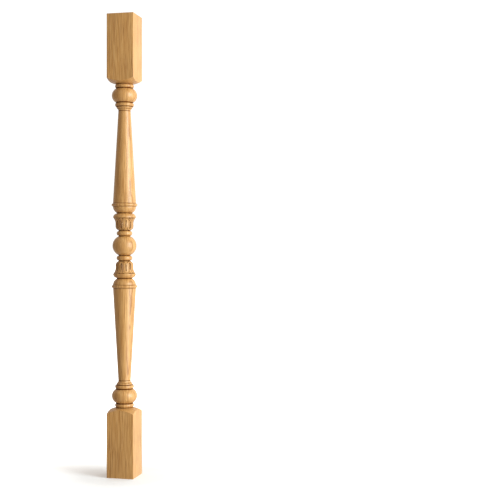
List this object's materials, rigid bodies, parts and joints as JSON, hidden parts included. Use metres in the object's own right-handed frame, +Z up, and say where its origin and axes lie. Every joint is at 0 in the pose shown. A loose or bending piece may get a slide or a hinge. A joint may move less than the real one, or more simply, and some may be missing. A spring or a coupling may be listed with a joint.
{
  "type": "baluster",
  "caption": "Turned and carved wooden baluster with square end blocks, tapering shafts, a central ball and leaf-carved cups. It stands between a base rail and a handrail.",
  "frame": {"origin": "centre of the square underside", "axes": "+Z up along the turning axis to the upper end; X and Y square to the faces of the end blocks; -Y is the broad face that the picture shows left of the near corner, and each cup has the middle of a U on it"},
  "size_m": [0.06, 0.06, 1],
  "materials": {
    "oak": "satin lacquer"
  },
  "bodies": {
    "root": {"baluster": "oak"}
  },
  "joints": []
}
